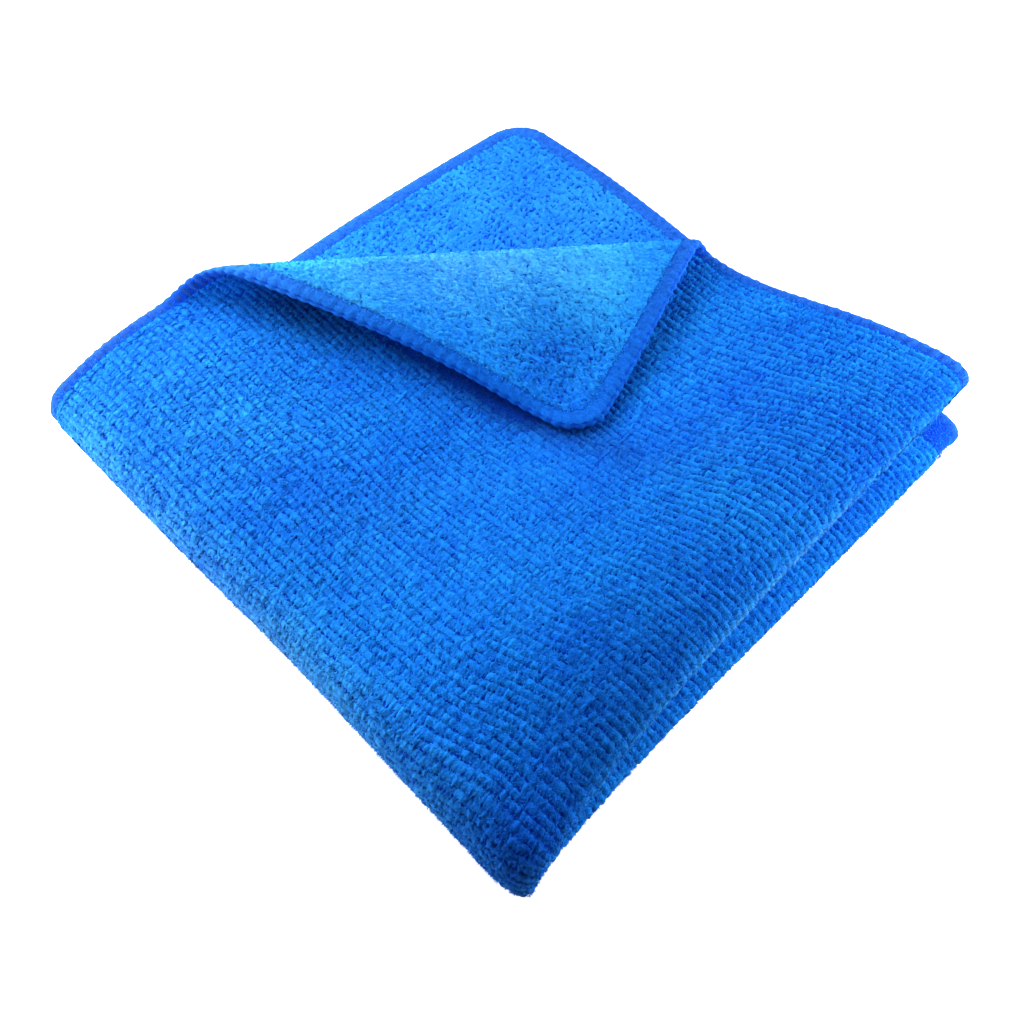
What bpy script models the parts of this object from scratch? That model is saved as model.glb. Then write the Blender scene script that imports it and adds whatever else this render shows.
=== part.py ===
"""A square microfibre cloth, folded in quarters, with the back corner of its top layer turned over.

Blender 4.5, metres, +Z up. The origin is at the middle of the footprint, on the surface that the
cloth lies on. The first fold lies along +X, the second along -Y, and the hems lie along -X and +Y.

The cloth starts as a flat grid. A place on it is (p, q), measured from the crossing of its two
creases. The first fold doubles it about p = 0, the second about q = 0. The layers, from the top:
p > 0, q > 0, whose back corner is turned over; p < 0, q > 0; p < 0, q < 0; p > 0, q < 0.
"""

import math

import bmesh
import bpy
import numpy as np
from mathutils import Vector

MM = 0.001

# The cloth, laid flat.
SIDE = 300 * MM
HALF = SIDE / 2
CORNER_RADIUS = 9.5 * MM
PILE_THICKNESS = 2.6 * MM
HEM_THICKNESS = 2.0 * MM
HEM_WIDTH = 5.0 * MM
HEM_STEP = 1.0 * MM
LAYER_GAP = 0.6 * MM
LAYER_PITCH = PILE_THICKNESS + LAYER_GAP

# The square that the folded cloth covers.
FIRST_FOLD_X = 78.2 * MM
SECOND_FOLD_Y = -77.9 * MM

# Half the distance between the two layers of each doubled half: where they lie flat, where the
# second fold pinches the first, and where the first fold swells towards its open end.
FLAT_HALF = LAYER_PITCH / 2
PINCHED_HALF = 3.3 * MM
UPPER_SWELL_HALF = 5.3 * MM
LOWER_SWELL_HALF = 3.5 * MM
SWELL_FROM, SWELL_TO = 18 * MM, 75 * MM
PINCH_FROM, PINCH_TO = 10 * MM, 70 * MM

# What keeps the two halves apart by the second fold, and the share of it left where they swell.
SECOND_FOLD_LOFT = 2.0 * MM
SWELL_LOFT_SHARE = 0.35
LOFT_FROM, LOFT_TO = 12 * MM, 60 * MM

# How far each fold and hem strays from the square: at its start, at its end, bowed between them,
# and swaying to either side, in millimetres.
STRAY = {
    # name: (start, end, bow, sway)
    "upper first fold": (0.1, -0.1, -2.2, -0.3),
    "lower first fold": (0.0, 5.9, -0.4, -0.2),
    "second fold": (4.4, -0.2, -0.7, 0.1),
    "top back hem": (5.8, 9.1, -8.5, -2.1),
    "top left hem": (-7.4, 3.3, -4.7, -4.4),
    "third back hem": (-1.2, 4.8, -0.4, -1.7),
    "third left hem": (-3.4, 2.3, -4.0, 0.2),
    "second back hem": (1.0, 0.5, -1.0, 0.4),
    "second left hem": (0.5, -1.5, 0.5, 0.3),
    "bottom back hem": (-0.5, -2.0, 1.0, 0.5),
    "bottom left hem": (-1.0, 1.0, -1.0, 0.5),
}
FOLD_JOIN = 25 * MM
TIP_PULL = 2.5 * MM
TIP_REACH = 12 * MM

# The turned-over corner: its ridge from the left hem to the back hem, the radius of its roll at
# either end, and how far the layer lifts under the ridge.
RIDGE_LEFT = np.array([-73.8, -22.2]) * MM
RIDGE_RIGHT = np.array([5.6, 72.1]) * MM
ROLL_LEFT = 5.7 * MM
ROLL_RIGHT = 2.5 * MM
FLAP_REACH = 52 * MM
LIFT = 0.9 * MM
LIFT_LENGTH = 95 * MM
LIFT_WIDTH = 55 * MM
LIFT_LEFT_AT_RIGHT = 0.15

# Soft places where the top layer stands off the one beneath, in millimetres.
SOFT_PLACES = {
    # name: (x, y, length, width, direction in degrees, height)
    "before the flap's tip": (22, -14, 26, 14, 40, 0.9),
    "behind the second fold": (-30, -52, 44, 13, 4, 0.7),
    "left corner": (-58, -44, 20, 12, 70, 0.8),
    "by the back hem": (38, 62, 24, 12, 20, 0.7),
    "before the front corner": (40, -48, 22, 12, 120, 0.6),
}

# The grid: even steps over the round of a crease, growing from there out.
FINE_STEP = 1.2 * MM
FINE_REACH = 7.0 * MM
STEP_GROWTH = 1.3
COARSE_STEP = 8.5 * MM
ROLL_CUTS = 9
FLAP_CUTS = 3
CUT_MARGIN = 12 * MM
CUT_SNAP = 0.3 * MM
FLAT_PLACE_ROUNDS = 6

BLUE = (0.016, 0.212, 0.871, 1.0)


def smooth(low, high, value):
    """0 below low, 1 above high, and a soft step between them."""
    t = np.clip((value - low) / (high - low), 0, 1)
    return t * t * (3 - 2 * t)


def running_sum(values, step):
    """The integral of evenly spaced values, by trapezia."""
    return np.concatenate([[0], np.cumsum((values[1:] + values[:-1]) / 2 * step)])


# The section of a soft fold: from upright at the crease, the cloth's slope dies away with the
# distance from it. CREST is the height that it ends at, for a decay length of 1.
DECAYS = 10
NOSE_STEPS = 1000
NOSE_AT = np.linspace(0, DECAYS, NOSE_STEPS + 1)
NOSE_SLOPE = math.pi / 2 * np.exp(-NOSE_AT)
NOSE_RISE = running_sum(np.sin(NOSE_SLOPE), DECAYS / NOSE_STEPS)
NOSE_RUN = running_sum(np.cos(NOSE_SLOPE), DECAYS / NOSE_STEPS)
CREST = NOSE_RISE[-1]


def nose(distance, crest):
    """How far in from a fold, and at what share of its crest, the cloth is at a distance."""
    decay = crest / CREST
    beyond = np.maximum(distance - DECAYS * decay, 0)
    run = np.interp(distance / decay, NOSE_AT, NOSE_RUN) * decay + beyond
    share = np.interp(distance / decay, NOSE_AT, NOSE_RISE) / CREST
    return run, share


def spacings(from_first, from_second):
    """Half the pitch in the upper and lower halves, and the pitch between those halves."""
    swell = 1 - smooth(SWELL_FROM, SWELL_TO, from_first)
    open_end = smooth(PINCH_FROM, PINCH_TO, from_second)
    pinched = FLAT_HALF + (PINCHED_HALF - FLAT_HALF) * swell
    upper = pinched + (UPPER_SWELL_HALF - PINCHED_HALF) * swell * open_end
    lower = pinched + (LOWER_SWELL_HALF - PINCHED_HALF) * swell * open_end
    loft = SECOND_FOLD_LOFT * (1 - smooth(LOFT_FROM, LOFT_TO, from_second))
    return upper, lower, LAYER_PITCH + loft * (1 - swell * (1 - SWELL_LOFT_SHARE))


def stray(name, t):
    """How far a fold or hem is off the square, at a share t of its length."""
    start, end, bow, sway = (value * MM for value in STRAY[name])
    line = start * (1 - t) + end * t
    return line + bow * np.sin(math.pi * t) + sway * np.sin(2 * math.pi * t)


def stack(p, q):
    """The four folded layers' middle surface, before the corner is turned over."""
    from_first, from_second = np.abs(p), np.abs(q)
    along_second, along_first = from_first / HALF, from_second / HALF
    outer = np.where(p >= 0, 1.0, -1.0)
    is_upper = q >= 0
    above = np.where(is_upper, 1.0, -1.0)

    upper, lower, between = spacings(from_first, from_second)
    upper_crest, lower_crest, _ = spacings(0 * from_first, from_second)
    run, share = nose(from_first, np.where(is_upper, upper_crest, lower_crest))
    offset = np.where(is_upper, upper, lower) * share * outer

    middle = (upper + lower + between) / 2
    bend = sum(spacings(from_first, 0 * from_second)) / 2
    turn = np.minimum(from_second / bend, math.pi / 2)
    inward = bend * (1 - np.cos(turn)) + np.maximum(0, from_second - bend * math.pi / 2)

    joined = 1 - smooth(0, FOLD_JOIN, from_second)
    upper_stray = stray("upper first fold", along_first)
    lower_stray = stray("lower first fold", along_first)
    fold_stray = np.where(is_upper, upper_stray, lower_stray) * (1 - joined)
    tip = TIP_PULL * np.exp(-(from_first + from_second) / TIP_REACH)
    x = FIRST_FOLD_X - PILE_THICKNESS / 2 - run + fold_stray * (1 - along_second) + tip
    y = SECOND_FOLD_Y + PILE_THICKNESS / 2 + FLAT_HALF + inward - offset * np.cos(turn)
    y = y + stray("second fold", along_second) * (1 - along_first) - tip
    z = PILE_THICKNESS / 2 + lower + middle + above * (middle + offset) * np.sin(turn)

    for layer, here in (
        ("top", (outer > 0) & is_upper),
        ("third", (outer < 0) & is_upper),
        ("second", (outer < 0) & (q < 0)),
        ("bottom", (outer > 0) & (q < 0)),
    ):
        y = y + here * stray(layer + " back hem", along_second) * along_first**2
        x = x + here * stray(layer + " left hem", along_first) * along_second**2
    return x, y, z


def top_layer_height(x, y):
    """The height of the top layer's middle surface above a place on the ground."""
    from_first = np.maximum(FIRST_FOLD_X - x, 0)
    from_second = np.maximum(y - SECOND_FOLD_Y, 0)
    upper, lower, between = spacings(from_first, from_second)
    return PILE_THICKNESS / 2 + 2 * lower + between + 2 * upper


RIDGE_LENGTH = math.dist(RIDGE_LEFT, RIDGE_RIGHT)
RIDGE_ALONG = (RIDGE_RIGHT - RIDGE_LEFT) / RIDGE_LENGTH
RIDGE_OUT = np.array([-RIDGE_ALONG[1], RIDGE_ALONG[0]])


def ridge_place(x, y):
    """Distances along the ridge from its left end, and beyond it towards the back corner."""
    east, north = x - RIDGE_LEFT[0], y - RIDGE_LEFT[1]
    along = east * RIDGE_ALONG[0] + north * RIDGE_ALONG[1]
    beyond = east * RIDGE_OUT[0] + north * RIDGE_OUT[1]
    return along, beyond


def ground_place(along, beyond):
    """The place on the ground with these distances from the ridge."""
    x = RIDGE_LEFT[0] + along * RIDGE_ALONG[0] + beyond * RIDGE_OUT[0]
    y = RIDGE_LEFT[1] + along * RIDGE_ALONG[1] + beyond * RIDGE_OUT[1]
    return x, y


def soft_place(name, x, y):
    """The height of one soft place above (x, y), in metres."""
    middle_x, middle_y, length, width, degrees, height = SOFT_PLACES[name]
    direction = math.radians(degrees)
    east, north = x / MM - middle_x, y / MM - middle_y
    along = east * math.cos(direction) + north * math.sin(direction)
    across = north * math.cos(direction) - east * math.sin(direction)
    return height * MM * np.exp(-((along / length) ** 2) - (across / width) ** 2)


def lift(x, y):
    """How far the top layer stands off the one beneath: in its soft places and at the ridge."""
    along, beyond = ridge_place(x, y)
    towards_left = 1 - (1 - LIFT_LEFT_AT_RIGHT) * smooth(0, LIFT_LENGTH, along)
    at_ridge = LIFT * towards_left * (1 - smooth(0, LIFT_WIDTH, -beyond))
    return at_ridge + sum(soft_place(name, x, y) for name in SOFT_PLACES)


def roll_radius(along):
    """The radius of the turned-over corner's roll."""
    return ROLL_LEFT + (ROLL_RIGHT - ROLL_LEFT) * np.clip(along / RIDGE_LENGTH, 0, 1)


def turn_over(p, q, x, y, z):
    """Lift the top layer to the ridge, and roll what lies beyond it over onto the layer."""
    top = (p >= 0) & (q >= 0)
    along, beyond = ridge_place(x, y)
    radius = roll_radius(along)
    travel = beyond + radius
    rolled = top & (travel > 0)
    turn = np.clip(travel / radius, 0, math.pi)
    past_roll = np.maximum(0, travel - math.pi * radius)
    settled = smooth(0, FLAP_REACH, past_roll)
    rise = np.where(
        past_roll > 0,
        LAYER_PITCH + (2 * radius - LAYER_PITCH) * (1 - settled),
        radius * (1 - np.cos(turn)),
    )
    over_x, over_y = ground_place(along, radius * (np.sin(turn) - 1) - past_roll)
    over_z = top_layer_height(over_x, over_y) + lift(over_x, over_y) + rise
    lifted = z + top * lift(x, y)
    return np.where(rolled, over_x, x), np.where(rolled, over_y, y), np.where(rolled, over_z, lifted)


def fold(p, q):
    """The middle surface of the folded cloth, as an array of points."""
    x, y, z = stack(p, q)
    return np.stack(turn_over(p, q, x, y, z), axis=-1)


def grid_lines():
    """Where the grid's lines cross one side of the flat cloth."""
    places, step = [0.0], FINE_STEP
    hem_line = HALF - HEM_WIDTH - HEM_STEP
    while places[-1] + step < hem_line - COARSE_STEP / 3:
        places.append(places[-1] + step)
        if places[-1] > FINE_REACH:
            step = min(step * STEP_GROWTH, COARSE_STEP)
    places += [hem_line, HALF - HEM_WIDTH, HALF]
    return [-place for place in reversed(places[1:])] + places


def flat_grid():
    """The flat cloth as a grid, its lines close together at the creases and at the hem."""
    lines = grid_lines()
    cells = len(lines) - 1
    mesh = bmesh.new()
    bmesh.ops.create_grid(mesh, x_segments=cells, y_segments=cells, size=1)
    for vert in mesh.verts:
        column = round((vert.co.x + 1) / 2 * cells)
        row = round((vert.co.y + 1) / 2 * cells)
        vert.co = (lines[column], lines[row], 0)
    return mesh


def flat_place(x, y):
    """Where on the flat cloth the top layer's place above (x, y) comes from."""
    p, q = np.array(FIRST_FOLD_X - x), np.array(y - SECOND_FOLD_Y)
    for _ in range(FLAT_PLACE_ROUNDS):
        there_x, there_y, _ = stack(p, q)
        p = p + there_x - x
        q = q + y - there_y
    return Vector((p, q, 0))


def cut_across_flap(mesh):
    """Add lines along the ridge, so that the roll is round where it crosses the grid."""
    ends = ((0.0, ROLL_LEFT), (RIDGE_LENGTH, ROLL_RIGHT))
    roll_shares = [(share, 0.0) for share in np.linspace(0, 1, ROLL_CUTS)]
    flap_shares = [(1.0, share) for share in np.linspace(0, 1, FLAP_CUTS + 2)[1:-1]]
    for roll_share, flap_share in roll_shares + flap_shares:
        left, right = (
            flat_place(*ground_place(along, radius * (math.pi * roll_share - 1) + FLAP_REACH * flap_share))
            for along, radius in ends
        )
        normal = (right - left).cross((0, 0, 1)).normalized()
        near = [face for face in mesh.faces if min(face.calc_center_median()[:2]) > CUT_MARGIN]
        edges = {edge for face in near for edge in face.edges}
        verts = {vert for face in near for vert in face.verts}
        geometry = [*near, *edges, *verts]
        bmesh.ops.bisect_plane(mesh, geom=geometry, dist=CUT_SNAP, plane_co=left, plane_no=normal)
    bmesh.ops.triangulate(mesh, faces=[face for face in mesh.faces if len(face.verts) != 4])


def round_corner(p, q):
    """Draw the square's corner in to its arc."""
    inner = HALF - CORNER_RADIUS
    past_p, past_q = abs(p) - inner, abs(q) - inner
    if past_p <= 0 or past_q <= 0:
        return p, q
    scale = max(past_p, past_q) / math.hypot(past_p, past_q)
    return math.copysign(inner + past_p * scale, p), math.copysign(inner + past_q * scale, q)


def make_cloth(collection):
    """The whole cloth: one sheet, folded and given its thickness."""
    mesh = flat_grid()
    cut_across_flap(mesh)
    hem_edge = HALF - HEM_WIDTH - HEM_STEP / 2
    in_pile = [max(abs(vert.co.x), abs(vert.co.y)) < hem_edge for vert in mesh.verts]
    flat = np.array([round_corner(vert.co.x, vert.co.y) for vert in mesh.verts])
    for vert, place in zip(mesh.verts, fold(flat[:, 0], flat[:, 1])):
        vert.co = place
    data = bpy.data.meshes.new("cloth")
    mesh.to_mesh(data)
    mesh.free()

    cloth = bpy.data.objects.new("cloth", data)
    collection.objects.link(cloth)
    pile = cloth.vertex_groups.new(name="pile")
    pile.add([index for index, inside in enumerate(in_pile) if inside], 1.0, "REPLACE")
    sheet = cloth.modifiers.new("sheet", "SOLIDIFY")
    sheet.thickness = PILE_THICKNESS
    sheet.offset = 0
    sheet.use_even_offset = True
    sheet.use_quality_normals = True
    sheet.use_rim = True
    sheet.vertex_group = pile.name
    sheet.thickness_vertex_group = HEM_THICKNESS / PILE_THICKNESS
    data.shade_smooth()
    return cloth


def microfibre():
    """Matt blue cloth."""
    material = bpy.data.materials.new("microfibre")
    material.use_nodes = True
    shader = material.node_tree.nodes["Principled BSDF"]
    shader.inputs["Base Color"].default_value = BLUE
    shader.inputs["Roughness"].default_value = 0.95
    shader.inputs["Metallic"].default_value = 0.0
    return material


def main():
    for old in list(bpy.data.objects):
        bpy.data.objects.remove(old, do_unlink=True)
    collection = bpy.data.collections.new("microfibre_cloth")
    bpy.context.scene.collection.children.link(collection)
    cloth = make_cloth(collection)
    cloth.data.materials.append(microfibre())


main()
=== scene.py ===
"""A blue microfibre cloth, folded in quarters, its top back corner turned over.

Metres, +Z up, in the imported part's frame. A place on the flat cloth is (p, q), measured from the
crossing of its two creases. Face A is the one that the first fold turns out, face B the other. The
cloth is a thin sheet on the solid's own folds. Its pile and its overlocked hem stand on the sheet.
"""

import math
from typing import NamedTuple

import bpy
import numpy as np
from mathutils import Matrix, Vector

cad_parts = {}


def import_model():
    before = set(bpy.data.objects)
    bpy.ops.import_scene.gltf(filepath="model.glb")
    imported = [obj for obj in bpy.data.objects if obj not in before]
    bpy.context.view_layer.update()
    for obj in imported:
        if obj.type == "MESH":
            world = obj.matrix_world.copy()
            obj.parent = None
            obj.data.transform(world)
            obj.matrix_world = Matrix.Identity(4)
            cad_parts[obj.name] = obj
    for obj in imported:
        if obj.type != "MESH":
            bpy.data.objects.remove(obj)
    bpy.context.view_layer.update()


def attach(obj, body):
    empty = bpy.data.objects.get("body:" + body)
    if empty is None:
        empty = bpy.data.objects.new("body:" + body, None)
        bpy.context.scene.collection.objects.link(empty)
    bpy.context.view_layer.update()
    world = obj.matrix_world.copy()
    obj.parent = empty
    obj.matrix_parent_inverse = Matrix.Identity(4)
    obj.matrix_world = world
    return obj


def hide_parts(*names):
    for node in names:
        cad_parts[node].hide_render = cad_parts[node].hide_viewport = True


MM = 0.001

# The cloth, laid flat, and its layers, as in the solid.
SIDE = 300 * MM
HALF = SIDE / 2
CORNER_RADIUS = 9.5 * MM
CORNER_ARC = CORNER_RADIUS * math.pi / 2
PILE_THICKNESS = 2.6 * MM
HEM_WIDTH = 5.0 * MM
LAYER_GAP = 0.6 * MM
LAYER_PITCH = PILE_THICKNESS + LAYER_GAP
FIRST_FOLD_X = 78.2 * MM
SECOND_FOLD_Y = -77.9 * MM
FLAT_HALF = LAYER_PITCH / 2
PINCHED_HALF = 3.3 * MM
UPPER_SWELL_HALF = 5.3 * MM
LOWER_SWELL_HALF = 3.5 * MM
SWELL_FROM, SWELL_TO = 18 * MM, 75 * MM
PINCH_FROM, PINCH_TO = 10 * MM, 70 * MM
SECOND_FOLD_LOFT = 2.0 * MM
SWELL_LOFT_SHARE = 0.35
LOFT_FROM, LOFT_TO = 12 * MM, 60 * MM

# How far each fold and hem strays from the square, in millimetres.
STRAY = {
    # name: (start, end, bow, sway)
    "upper first fold": (0.1, -0.1, -2.2, -0.3),
    "lower first fold": (0.0, 5.9, -0.4, -0.2),
    "second fold": (4.4, -0.2, -0.7, 0.1),
    "top back hem": (5.8, 9.1, -8.5, -2.1),
    "top left hem": (-7.4, 3.3, -4.7, -4.4),
    "third back hem": (-1.2, 4.8, -0.4, -1.7),
    "third left hem": (-3.4, 2.3, -4.0, 0.2),
    "second back hem": (1.0, 0.5, -1.0, 0.4),
    "second left hem": (0.5, -1.5, 0.5, 0.3),
    "bottom back hem": (-0.5, -2.0, 1.0, 0.5),
    "bottom left hem": (-1.0, 1.0, -1.0, 0.5),
}
FOLD_JOIN = 25 * MM
TIP_PULL = 2.5 * MM
TIP_REACH = 12 * MM

# The turned-over corner.
RIDGE_LEFT = np.array([-73.8, -22.2]) * MM
RIDGE_RIGHT = np.array([5.6, 72.1]) * MM
ROLL_LEFT = 5.7 * MM
ROLL_RIGHT = 2.5 * MM
FLAP_REACH = 52 * MM
LIFT = 0.9 * MM
LIFT_LENGTH = 95 * MM
LIFT_WIDTH = 55 * MM
LIFT_LEFT_AT_RIGHT = 0.15

# Soft places where the top layer stands off the one beneath, in millimetres.
SOFT_PLACES = {
    # name: (x, y, length, width, direction in degrees, height)
    "before the flap's tip": (22, -14, 26, 14, 40, 0.9),
    "behind the second fold": (-30, -52, 44, 13, 4, 0.7),
    "left corner": (-58, -44, 20, 12, 70, 0.8),
    "by the back hem": (38, 62, 24, 12, 20, 0.7),
    "before the front corner": (40, -48, 22, 12, 120, 0.6),
}

# The knitted sheet under the pile, and its grid.
SHEET_THICKNESS = 1.5 * MM
FINE_STEP = 0.7 * MM
FINE_REACH = 9.0 * MM
TOP_STEP = 1.8 * MM
HIDDEN_STEP = 4.5 * MM
PROBE = 0.15 * MM

# The pile stands on both faces of the sheet. Face A is 1 and face B is -1, here and below.
PILE_FROM_EDGE = {1: 2.3 * MM, -1: 3.2 * MM}
LOOP_FOOT = 0.30 * MM
LOOP_TOP = PILE_THICKNESS / 2

# The rows are evenly spaced along one line over the folds, and near the front corner along another.
EVEN_AT = 40 * MM
EVEN_AT_TIP = 10 * MM
TIP_ROWS_TO = (14 * MM, 36 * MM)
LINE_SAMPLES = 6000

# Where pile can be seen: distances on the flat cloth from its edge, its creases and the roll.
HEM_STRIP = 14 * MM
FOLD_STRIP = 8 * MM
FRONT_STRIP = 14 * MM  # of rows on the underside, by the first fold
BEND_STRIP = 9 * MM  # free of loops inside the bends, where they would poke through
BEFORE_RIDGE = 8 * MM
BEFORE_ROLL = 3 * MM
HALVED_AT = 70 * MM  # where the top's bed is cut in two
BED_TAPER = 0.9 * MM


class LoopStyle(NamedTuple):
    """How the loops of one kind of face are made. Lengths are in millimetres and angles in degrees."""

    pitches: tuple  # of the rows, and of the loops in a row
    size: tuple  # half a loop's length and width, as shares of the pitches
    crown: tuple  # its flat top, as shares of its length and width
    jitter: float
    wander: float  # how far a row strays from its neighbours
    turn: tuple  # the loops' mean turn and its spread
    height: tuple  # its mean and spread, as shares of the whole height
    fibres: int = 0  # on each loop
    lie: float = 0.0  # how much the fibres lie along their loop
    comb: float = 0.0  # how much the fibres lie across the ridge


PILE_STYLES = {
    "rows": LoopStyle(
        (1.95, 1.33), (0.50, 0.60), (0.80, 0.84), 0.15, 0.22, (22, 12), (0.88, 0.12), 12, 0.3
    ),
    "plain": LoopStyle((2.05, 1.50), (0.56, 0.80), (0.80, 0.84), 0.15, 0.22, (25, 12), (0.88, 0.12)),
    "clumps": LoopStyle(
        (1.60, 1.30), (0.60, 0.68), (0.66, 0.66), 0.46, 0.15, (20, 60), (0.76, 0.26), 10, 0.4
    ),
    "brushed": LoopStyle(
        (1.04, 1.0), (0.74, 0.74), (0.76, 0.76), 0.4, 0.1, (0, 80), (0.90, 0.10), 6, 0.0, 1.2
    ),
}
ONLY_FIBRES = ("top", "front", "corner", "third_layer")  # on a bed, so their loops are not made


class BedStyle(NamedTuple):
    """How the pile is made where it shows most: one sheet of small facets, in ribs of beads."""

    pitches: tuple  # of the ribs, and of the beads in a rib
    profile: tuple  # lines across one rib: share of the pitch from its middle, height, sideways play
    bead: tuple  # heights along one bead
    play: float  # of the facets along a rib
    uneven: tuple  # in soft swells, from bead to bead, by facet, in valleys
    wander: float
    height: float
    pits: tuple  # their size, their depth, and their depth where it is rough
    lowest: float
    tone: tuple  # from bead to bead, and by facet


BEDS = {
    "ribs": BedStyle(
        (1.90, 1.26), ((-0.5, 0.50, 0.26), (-0.27, 0.98, 0.16), (0.27, 1.0, 0.16)),
        (0.90, 0.98, 1.0, 0.97), 0.14, (0.05, 0.09, 0.165, 0.20), 0.20, 0.84,
        (1.5, 0.12, 0.12), 0.12, (0.20, 0.16),
    ),
    "clumps": BedStyle(
        (1.75, 1.5), ((-0.5, 0.72, 0.25), (-0.17, 1.0, 0.2), (0.17, 1.0, 0.2)),
        (0.80, 1.0, 1.0), 0.2, (0.06, 0.12, 0.14, 0.2), 0.20, 0.80,
        (1.6, 0.5, 0.5), 0.04, (0.15, 0.2),
    ),
    "speckle": BedStyle(
        (1.0, 1.5), ((-0.5, 1.0, 0.14), (0.0, 1.0, 0.14)),
        (1.0, 1.0, 1.0), 0.14, (0.03, 0.0, 0.26, 0.0), 0.0, 0.80,
        (1.3, 0.0, 0.24), 0.3, (0.0, 0.6),
    ),
}
PIT_EDGE = (0.45, 1.25)  # of the drift, from no pit to its full depth
HIGHEST = 1.08
SHADE_RISE = (0.05, 0.75)  # from the valleys' shade to the tops'

# Places where the bed differs: the middle and the reach of each in millimetres, and by what share.
ROUGH_PLACES = {1: (118, 34, 42), -1: (131, 133, 17)}
ROUGHER = {1: 0.0, -1: 0.9}  # the play from facet to facet
PLAINER = {1: 0.65, -1: 0.0}  # taken off the shape of each bead
UNEVEN_BEADS = {1: -0.5, -1: 0.5}  # the play from bead to bead
LOOSE_PLACES = ((12, 118, 34), (50, 142, 30))
LOOSER = 1.5  # the shape of each bead
DEEPER = 0.36  # the valleys
LOOSE_FACETS = 0.5  # the play from facet to facet
FAINT_PLACE = (30, 42, 22)
FAINTER = 0.38  # taken off the valleys
ASKEW_PLACE = (28, 108, 26)
ASKEW_SLOPE = 0.27

# The rows bow a little, and are closest together at one q and widest half a length from it.
ROW_BOW = 0.4 * MM
CLOSEST_AT = 66 * MM
CLOSE_LENGTH = 92 * MM
CLOSER = 0.07

# How far the flap presses down the pile that it lies on, from its edge to its full share. The pressed pile
# takes the painted valley shade, a painted shadow along the flap's edge.
PRESSED = 0.85
PRESSED_FROM_TO = (0.0, 4.5 * MM)

# Patches of the pile that look lighter or darker on the flat cloth: some where it was last brushed, most of
# them painted light and shade, as painted highlights, painted shade and painted shadows.
NAP_AND_PAINTED_LIGHT_PATCHES = (
    # face, then p, q, length and width in millimetres, direction in degrees, and how many times
    # as light in red, green and blue
    # painted light on the left part
    (1, 130, 16, 60, 30, 0, 2.5, 1.09, 0.98),
    # painted highlight along the second fold's rim
    (1, 62, -1.5, 95, 8, 0, 13, 1.68, 1.10),
    # painted highlight along the first fold's rim
    (1, -0.5, 90, 2.4, 75, 0, 16, 1.85, 1.12),
    (1, 60, 56, 32, 28, 0, 0.8, 0.86, 0.96),
    # painted shade by the front corner, in these two
    (1, 5, 26, 12, 30, 0, 0.5, 0.60, 0.76),
    (1, 6, 3, 15, 11, 0, 0.6, 0.66, 0.90),
    # painted shadow along the flap's edge, in these two
    (1, 131, 62, 16, 6, -5, 0.3, 0.36, 0.48),
    (1, 70, 78, 25, 5, -13, 0.3, 0.32, 0.50),
    # painted light, redder, on the flap by its ridge
    (-1, 124, 104, 36, 15, 130, 2.2, 1.0, 0.98),
    # darker where the pile was brushed the other way
    (-1, 131, 133, 15, 9, 20, 0.26, 0.52, 0.84),
    (-1, 144, 130, 26, 18, 0, 0.6, 0.84, 0.98),
    (-1, 118, 146, 38, 8.5, 0, 0.4, 0.70, 0.96),
    (-1, 144, 98, 4, 42, 0, 0.6, 0.86, 0.98),
    # painted light on the flap by its ridge
    (-1, 124, 116, 19, 13, 130, 1.5, 1.27, 1.02),
)

# Patches of the hem that look lighter, darker, redder or bluer, with the same columns.
HEM_PATCHES = (
    (-1, 140, 130, 42, 42, 0, 0.14, 0.98, 1.02),
    (-1, 148, 76, 8, 22, 0, 1.3, 1.25, 1.05),
    (1, 148, 20, 12, 60, 0, 1.2, 0.76, 0.76),
)

# Loose fibre ends over the pile, each one thin blade.
FIBRE_WIDTHS = (0.14 * MM, 0.26 * MM)
FIBRE_LENGTHS = (0.5 * MM, 1.1 * MM)
FIBRE_TILTS = (8, 60)
FIBRE_FALL = 0.5  # how much lower they stand at a loop's rim
FIBRE_FAN = 0.5  # how much they lean out from a loop's middle
FIBRE_TONES = 0.45
FIBRE_SHADE = 0.75
FIBRE_TIP_SHADE = 1.33
HEM_FIBRES = 2.6  # for each square millimetre of the hem
HEM_FIBRE_FOOT = 0.95

# The overlocked hem: threads across the edge, gathered into scallops.
SCALLOP = 2.7 * MM
THREADS_PER_SCALLOP = 4
SAMPLES_PER_THREAD = 2
SCALLOP_DEPTH = 0.36 * MM
SCALLOP_RISE = {1: 0.60, -1: 0.14}
SCALLOP_MIDDLE = 0.6
SCALLOPED_TO = 2.0 * MM
GATHERED_TO = (3.0 * MM, 5.0 * MM)
THREAD_RELIEF = 0.05 * MM
RELIEF_ABOVE = 0.6 * MM
HEM_OUT = 0.4 * MM
HEM_SECTION = (
    # (distance in from the edge, height over the middle surface on face A and on face B)
    (5.2, 0.25, 0.35),
    (4.4, 0.30, 0.75),
    (3.2, 0.45, 0.98),
    (2.2, 0.75, 1.06),
    (1.2, 1.00, 1.05),
    (0.5, 0.88, 0.88),
    (-0.12, 0.54, 0.54),
)

# The photograph's camera.
CAMERA_TARGET = Vector((22.95, -19.66, 13.0)) * MM
CAMERA_DISTANCE = 197.14 * MM
CAMERA_AZIMUTH = math.radians(46.65)
CAMERA_ELEVATION = math.radians(63.22)
CAMERA_ROLL = math.radians(-2.55)
CAMERA_LENS = 30.86
CAMERA_SENSOR = 36.0

# The studio's soft lamps, close round the cloth and most of them low.
LAMPS = {
    # name: (direction round the cloth and height above it in degrees, distance, width, energy)
    "window": (180, 42, 270 * MM, 280 * MM, 0.74),
    "left": (182, 20, 215 * MM, 150 * MM, 0.82),
    "left_front": (236, 16, 190 * MM, 120 * MM, 0.28),
    "right_back": (56, 20, 210 * MM, 170 * MM, 0.60),
    "right": (26, 20, 215 * MM, 150 * MM, 0.20),
}
ROOM_LIGHT = 0.06
TABLE_GLOW = 0.85

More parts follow.
